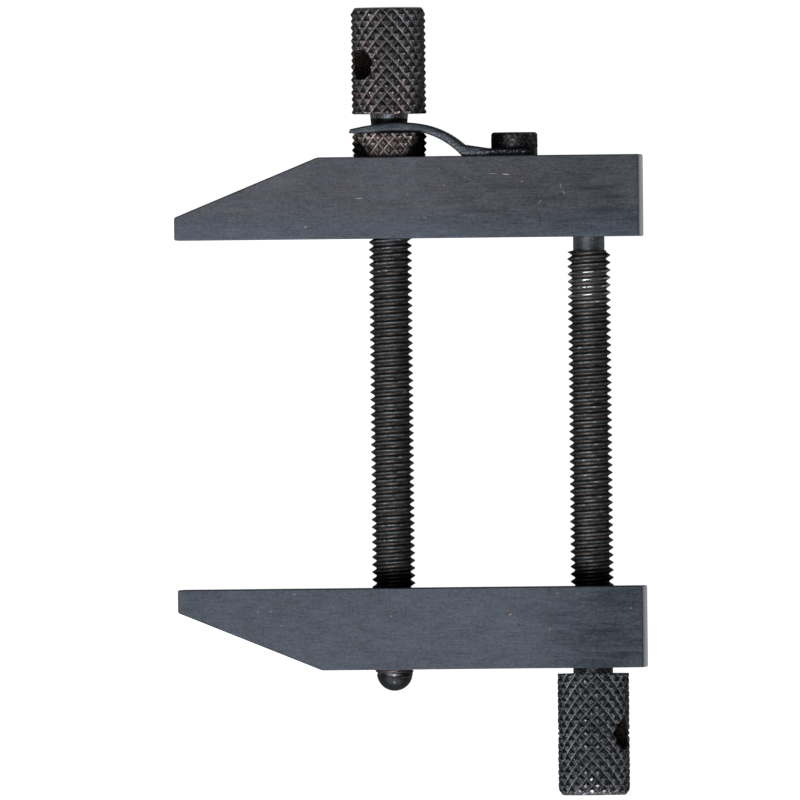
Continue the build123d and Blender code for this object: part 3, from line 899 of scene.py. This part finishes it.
def screwSteel():
    # Near-black oxide with a gritty sheen. On the knurl thin pale lines are painted in the grooves
    # as painted light, and some points are rubbed to bare steel and painted with glints. On the
    # thread the roots hold brownish residue and the crests are worn grey, bright where the screw
    # has run under the upper jaw; painted shade darkens the thread at its sides and in the shadow
    # of the lower jaw, and painted highlights lie on the ball.
    look, headTop, headBottom = screwLook, middleHigh[1], outerLow[1]
    finish = Finish("screw_black_oxide", 0.8, 0.45, (0.5, 0.5, 0.5))
    x, y, z = (finish.axis(i) for i in range(3))
    way, knurled, paling, threaded, bored = (
        finish.attribute(name) for name in ("way", "knurled", "paling", "threaded", "bored"))
    patch, grit, speck, dapple, scuff = finish.grains(screwGrains)
    onOuter = x.rise(*look["outer"])
    offset = abs(x - middleX) * (1 - onOuter) + abs(x - outerX) * onOuter
    # the knurl: its faces, then the pale lines in its grooves as painted light, then its points, rubbed bare
    # and painted with glints
    upper, collar = y.rise(*look["brownFrom"]), y.band(*look["collar"])
    brown = (patch.rise(0.34, 0.62) * 0.8 + collar * 0.4 + y.band(*look["headFoot"]) * 0.6) * upper
    rust = (brown + 0.15 * upper) * speck.rise(0.5, 0.62) * (1 - collar)
    pyramid = way.rise(0.3, 0.75) * collar
    # painted light: the pale lines in the grooves
    line = finish.mix(brown * speck.rise(0.36, 0.56), look["line"], look["lineBrown"])
    groove = (1 - (way - collar * 0.06).rise(0.06, 0.2)) * paling * dapple.rise(0.3, 0.54) * (0.45 + grit)
    # the points: some rubbed bare and painted with glints, more of them near the lower end
    endWearAndGlints = 1 - y.rise(*look["aboveEndWearAndGlints"])
    point = way.rise(0.78, 0.95) * knurled * (dapple + endWearAndGlints * 0.08).rise(0.5, 0.59)
    point = point.high(finish.marked(bareAndGlintSpots, 0.4, axisZ + 4.2, 4.0) * knurled)
    colour = finish.layers(
        look["face"], (grit.rise(0.4, 0.68), look["faceWorn"]), (rust * knurled * 0.5, look["rust"]),
        ((0.15 * collar + pyramid) * speck.rise(0.44, 0.54), look["collarRust"]),
        (grit.rise(0.5, 0.58) * pyramid, look["collarPale"]),
        (groove * knurled, finish.scale(line, 1.0 + collar)), (point, look["bareAndGlint"]))
    # the turned parts: the dog point, the ball, the necks and the faced ends with their rings
    dog, neckTop = y.band(*look["dog"]), y.rise(*look["neckTop"])
    below = 1 - y.rise(*look["aboveBall"])
    ball, outerNeck = below * (1 - onOuter), below * onOuter
    neck = y.rise(*look["neck"]) * (1 - knurled)
    turnedWear = grit.rise(0.46, 0.7) * (1 - dog * 0.3) * (1 - ball * 0.9) + dog * 0.25
    near, far = look["faced"]
    ends = y.rise(headTop - far, headTop - near) + 1 - y.rise(headBottom + near, headBottom + far)
    radius = (offset ** 2 + (z - axisZ) ** 2) ** 0.5
    rings = radius.math("SINE", radius * look["rings"])
    turnedWear = turnedWear * (1 - ends) + ends * (0.45 + rings * 0.12 + (patch - 0.5) * 0.8)
    turned = finish.mix(turnedWear, look["turned"], look["turnedWorn"])
    # painted shadow and light: the neck is darker in the clip's shadow and much lighter at its top
    lift = dog * (0.5 + scuff) + neckTop * 4.5 - neck * 0.6 + outerNeck * grit.rise(0.45, 0.6) * 3
    turned = finish.scale(turned, 1.0 + lift - ball * 0.15)
    # painted highlights on the ball
    turned = finish.mix(finish.marked(paintedBallHighlights, 0.1, axisZ + 2.1, 3.0) * ball, turned, look["bareAndGlint"])
    # the thread: root and crest, streaks, and painted shade: a painted shadow of the lower jaw above it and
    # darker sides
    root = finish.mix((1 - way.rise(0.05, 0.3)) * (0.5 + grit), look["flank"], look["root"])
    scoured = y.band(*look["scoured"]) * onOuter
    edge = way.rise(0.76, 0.94) * (0.2 + patch * 1.3 + scoured * 0.6)
    thread = finish.layers(
        root, (edge, finish.mix(scoured, look["crest"], look["bareAndGlint"])),
        (finish.marked(threadWearAndGlints, 0.3, axisZ + 2.6, 3.0), look["bareAndGlint"]))
    streaks = ((scuff - 0.5) * 4.2 + (grit - 0.5)) * (1 - scoured * 0.65) + 0.14 + scoured * 0.5
    # painted shade: darker in the shadow of the lower jaw and at the thread's sides
    paintedThreadShade = (1 - y.band(*look["jawShadow"]) * 0.94) * (1 - offset.rise(1.2, 2.4) * 0.7)
    thread = finish.scale(thread, (1.0 + streaks).high(0.1) * paintedThreadShade)
    bore = finish.mix(grit.rise(0.45, 0.62), look["bore"], look["boreWorn"])
    colour = finish.layers(colour, (1 - knurled, finish.mix(threaded, turned, thread)), (bored, bore))
    # painted shade: the knurl is darker at its sides, and a painted shadow of the jaw and the clip darkens
    # the collar in an arc over the jaw and at its right end
    arc = offset.rise(2.2, 3.8) * 1.7
    paintedCollarShadow = (1 - (y - arc).rise(*look["lit"])).high(x.rise(*look["rightOfCollar"])) * collar
    shade = 1.14 - knurled * offset.rise(1.8, 4.6) * 0.34
    colour = finish.scale(colour, shade * (1 - paintedCollarShadow * knurled * 0.9))
    finish.feed("Base Color", colour)
    bareAndGlint = point + edge * threaded * scoured
    finish.feed("Metallic", 0.8 + bareAndGlint * 0.2)
    finish.feed("Roughness", 0.46 - bareAndGlint * 0.18 - ball * 0.08 + (grit - 0.5) * 0.2)
    finish.bump((grit + scuff * threaded) * (1 - ball * 0.8 - ends * 0.8), 0.7, 0.04)
    return finish.material


clipColours = {
    "low": (0.046, 0.06, 0.078),
    "high": (0.128, 0.146, 0.17),
    "dark": (0.012, 0.014, 0.018),
    "fleck": (0.46, 0.47, 0.5),
    # painted shadow: black for the leaf's underside over the collar
    "paintedGapShadow": (0.003, 0.003, 0.004),
    # where a part starts and is full along x, and where it begins to fade and ends
    "foot": (8.5, 11.5),
    "bend": (2.0, 6.0, 9.5, 12.0),
    "overCollar": (-4.8, -3.2, 1.8, 2.4),
}
clipGrains = {"speck": (3.4, 4.5, 4.5, 3, 0.7), "streak": (0.8, 4, 7, 3, 0.6)}


def clipSteel():
    # Blued spring steel: dark along the edges of its sheared sides and on their foot, with pale
    # flecks on the bend and along the foot. A painted shadow makes the leaf's underside black over
    # the collar, in the gap between them.
    look = clipColours
    finish = Finish("clip_blue_oxide", 0.85, 0.42, (0.35, 0.37, 0.4))
    x, z = finish.axis(0), finish.axis(2)
    speck, streak = finish.grains(clipGrains)
    over = finish.attribute("over")
    side = abs(z - axisZ).rise(4.2, 4.45)
    foot, bend = x.rise(*look["foot"]), x.band(*look["bend"])
    row = over.band(0.3, 0.45, 0.6, 0.78)
    flecks = speck.rise(0.5, 0.62) * side * (0.2 * (1 - foot) + bend * (0.9 - over) + foot * row * 0.7)
    brink = (over.rise(0.74, 0.94) * 0.8).high(1 - over.rise(0.04, 0.26)) * side
    dark = (foot * side).high(brink * 0.95).high((1 - side) * 0.7)
    # painted shadow in the gap between leaf and collar
    paintedGapShadow = (1 - over.rise(0.16, 0.36)) * x.band(*look["overCollar"])
    finish.feed("Base Color", finish.layers(
        look["low"], (streak.rise(0.3, 0.7), look["high"]), (dark, look["dark"]),
        (flecks * (1 - brink), look["fleck"]), (paintedGapShadow, look["paintedGapShadow"])))
    finish.feed("Roughness", 0.42 + (speck - 0.5) * 0.25)
    finish.bump(speck, 0.5, 0.03)
    return finish.material


# pale scratches, and a painted highlight: the bright one
clipScrewSpots = {
    "bright": [(505.4, 140, 1.5, 0.7, 35, 1)],
    "diagonals": [(508.6, 136.6, 3, 0.6, 50, 0.7), (503.6, 136.8, 2.4, 0.6, -40, 0.5)],
    "low": [(512, 140.5, 2, 0.6, 10, 0.6)],
}
clipScrewColours = {
    "cool": (0.38, 0.37, 0.38),
    "warm": (0.34, 0.28, 0.26),
    "dark": (0.02, 0.021, 0.023),
    "greyer": (0.1, 0.1, 0.105),
    "bareAndGlint": (0.62, 0.58, 0.56),
}
clipScrewGrains = {
    "speck": (2.8, 2.8, 2.8, 4, 0.7),
    "warm": (0.8, 0.8, 0.8, 2, 0.5),
    "paling": (0.55, 0.8, 0.55, 2, 0.5),
}


def clipScrewSteel():
    # Black oxide with pale and brownish specks, most of them on the middle of the head, which
    # is greyer than its left side. Its scratches are pale, and one bright spot is a painted highlight.
    look = clipScrewColours
    finish = Finish("clip_screw_black_oxide", 0.85, 0.45, (0.3, 0.3, 0.3))
    speck, warm, paling = finish.grains(clipScrewGrains)
    light = finish.mix(warm.rise(0.4, 0.6), look["cool"], look["warm"])
    # darker on the left of the head, greyer and more speckled from its middle on
    middle = (finish.axis(0) + (paling - 0.5) * 3).rise(clipScrewX - 2.4, clipScrewX - 0.8)
    finish.feed("Base Color", finish.layers(
        look["dark"], (middle * 0.35, look["greyer"]), (speck.rise(0.48, 0.7) * (0.3 + middle * 0.6), light),
        (finish.marked(clipScrewSpots, 0.2, axisZ + 4.0, 3.0), look["bareAndGlint"])))
    finish.feed("Roughness", 0.45 + (speck - 0.5) * 0.25)
    finish.bump(speck, 0.6, 0.03)
    return finish.material


# Studio

studio = {
    "sky": 0.04,  # strength of the even white surroundings
    # soft boxes: place and size in metres, and radiance
    "overhead": ((-0.12, -0.2, 1.24), (1.1, 0.45), 2.1),
    "front": ((-0.2, -0.9, 0.9), (1.7, 0.38), 3.3),
    # a low row of soft boxes on the same side: their turns from it in degrees
    "low": {"turns": (-40, -17, 8, 30), "reach": 1.1, "height": 0.42, "size": (0.5, 0.3), "radiance": 2.6},
    # the floor: half its width and its height in millimetres, and its grey in the steel
    "floor": {"half": 3000.0, "height": -0.02, "colour": (0.3, 0.3, 0.3, 1), "mirrored": (0.28,) * 3},
}


def placeCamera():
    # far off on the line that leans towards the heel, turned by the roll
    lens = bpy.data.cameras.new("camera")
    lens.lens = lens.sensor_width * photo["distance"] / photo["width"]
    lens.clip_start, lens.clip_end = 0.1, 30.0
    camera = addObject("camera", lens)
    lean, roll = math.radians(photo["lean"]), math.radians(photo["roll"])
    back = Vector((math.sin(lean), 0, math.cos(lean)))
    right = Vector((math.sin(roll), math.cos(roll), 0)).cross(back).normalized()
    place = (Vector((*photo["centre"], axisZ)) + back * photo["distance"]) * mm
    turned = Matrix((right, back.cross(right), back)).transposed()
    camera.matrix_world = Matrix.Translation(place) @ turned.to_4x4()
    bpy.context.scene.camera = camera


def softBox(name, place, size, radiance):
    # a rectangular studio light that faces the clamp, with its place and size in metres
    light = bpy.data.lights.new(name, "AREA")
    light.shape, light.size, light.size_y = "RECTANGLE", *size
    light.energy = math.pi * size[0] * size[1] * radiance
    lamp = addObject(name, light)
    lamp.location = place
    lamp.rotation_euler = (-Vector(place)).to_track_quat("-Z", "Y").to_euler()


def layFloor():
    # a pale self-lit floor, on which no shadow shows and which the steel reflects as grey
    look = studio["floor"]
    corners = np.array([(-1, -1, 0), (1, -1, 0), (1, 1, 0), (-1, 1, 0)]) * look["half"]
    floor = newPiece("floor", corners + (0, 0, look["height"]), np.array([(0, 1, 2), (0, 2, 3)]))
    finish = Finish("pale_floor", 0.0, 1.0)
    finish.feed("Base Color", look["colour"])
    mirrored = finish.add("ShaderNodeLightPath", {}, {}, "Is Glossy Ray")
    finish.feed("Emission Color", finish.mix(mirrored, (1, 1, 1), look["mirrored"]))
    finish.feed("Emission Strength", 1.0)
    finish.feed("Specular IOR Level", 0.0)
    floor.data.materials.append(finish.material)
    floor.visible_diffuse = False


def lightStudio():
    # the surroundings light the clamp faintly and look white themselves
    world = bpy.data.worlds.new("studio")
    nodes = Nodes(world)
    shown = nodes.add("ShaderNodeLightPath", {}, {}, "Is Camera Ray")
    backdrop = nodes.mix(shown, (studio["sky"],) * 3, (1, 1, 1))
    nodes.join(world.node_tree.nodes["Background"].inputs["Color"], backdrop)
    bpy.context.scene.world = world
    for name in ("overhead", "front"):
        softBox(name, *studio[name])
    low = studio["low"]
    for turn in np.radians(low["turns"]):
        place = (low["reach"] * math.sin(turn), -low["reach"] * math.cos(turn), low["height"])
        softBox("low", place, low["size"], low["radiance"])


print("making the screws")
middle = makeMiddleScrew()
outer = makeOuterScrew()
print("making the clip")
clip = softened("spring_clip", "spring_clip_leaf", clipLook["bevel"], pressClip)
markLeaf(clip)
clipScrew = softened("clip_screw", "clip_screw_head", clipLook["screwBevel"])

print("finishing the surfaces")
jawFinish = jawSteel()
screwFinish = screwSteel()
for node in ("upper_jaw", "lower_jaw"):
    jaw = frame["nodes"][node]
    jaw.data.materials.clear()
    jaw.data.materials.append(jawFinish)
for piece, finish, body, node, slot in (
    (middle, screwFinish, "middle_screw", "middle_screw", "screw_steel"),
    (outer, screwFinish, "outer_screw", "outer_screw", "screw_steel"),
    (clip, clipSteel(), "upper_jaw", "spring_clip", "clip_steel"),
    (clipScrew, clipScrewSteel(), "upper_jaw", "clip_screw", "clip_screw_steel"),
):
    piece.data.materials.clear()
    piece.data.materials.append(finish)
    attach(piece, body)
    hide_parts(node)

print("lighting")
layFloor()
lightStudio()
placeCamera()
bpy.context.scene.view_settings.view_transform = "Standard"
